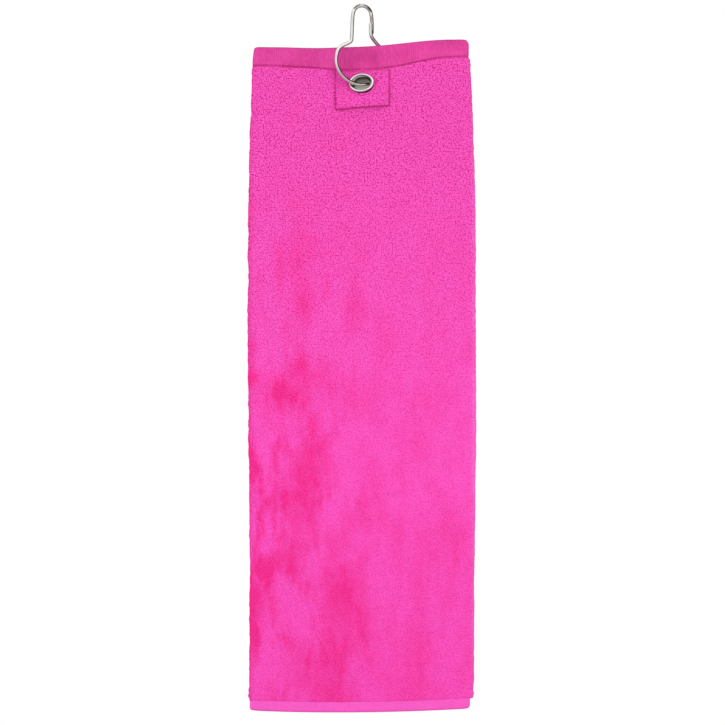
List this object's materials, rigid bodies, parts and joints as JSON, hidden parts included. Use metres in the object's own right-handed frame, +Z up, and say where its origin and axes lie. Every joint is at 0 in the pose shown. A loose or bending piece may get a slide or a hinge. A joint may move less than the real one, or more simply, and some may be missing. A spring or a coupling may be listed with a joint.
{
  "type": "golf towel",
  "caption": "Pile towel folded lengthwise in three, with a flat-woven top band, a sewn square and an eyelet that hangs on a sprung wire clip.",
  "frame": {"origin": "inner top of the clip's bow, where the towel hangs", "axes": "+Z up along the towel, +Y out of its back, the front faces -Y"},
  "size_m": [0.1709, 0.0215, 0.5308],
  "materials": {
    "pile": "cotton velour pile, matt with a soft sheen",
    "woven_band": "flat-woven ribbed cotton",
    "thread": "sewing thread, satin",
    "nickel": "polished nickel plate"
  },
  "bodies": {
    "clip": {"clip_hook": "nickel"},
    "gate": {"clip_gate": "nickel"},
    "towel": {"towel_cloth": "pile", "top_hem": "woven_band", "bottom_hem": "woven_band", "eyelet_patch": "pile", "eyelet": "nickel", "eyelet_washer": "nickel", "top_hem_needle_thread": "thread", "top_hem_bobbin_thread": "thread", "bottom_hem_needle_thread": "thread", "bottom_hem_bobbin_thread": "thread", "patch_needle_thread": "thread", "patch_bobbin_thread": "thread"}
  },
  "joints": [
    {"name": "towel_swivel", "type": "hinge", "parent": "clip", "child": "towel", "pos_m": [0, 0, -0.0575], "axis": [0, 0, -1], "range_deg": [0, 100]},
    {"name": "gate_flex", "type": "hinge", "parent": "clip", "child": "gate", "pos_m": [0.01366, 0.00666, -0.05267], "axis": [0.4384, -0.8988, 0], "range_deg": [0, 9], "stiffness_Nm_per_rad": 2, "springref_deg": -2.86}
  ]
}
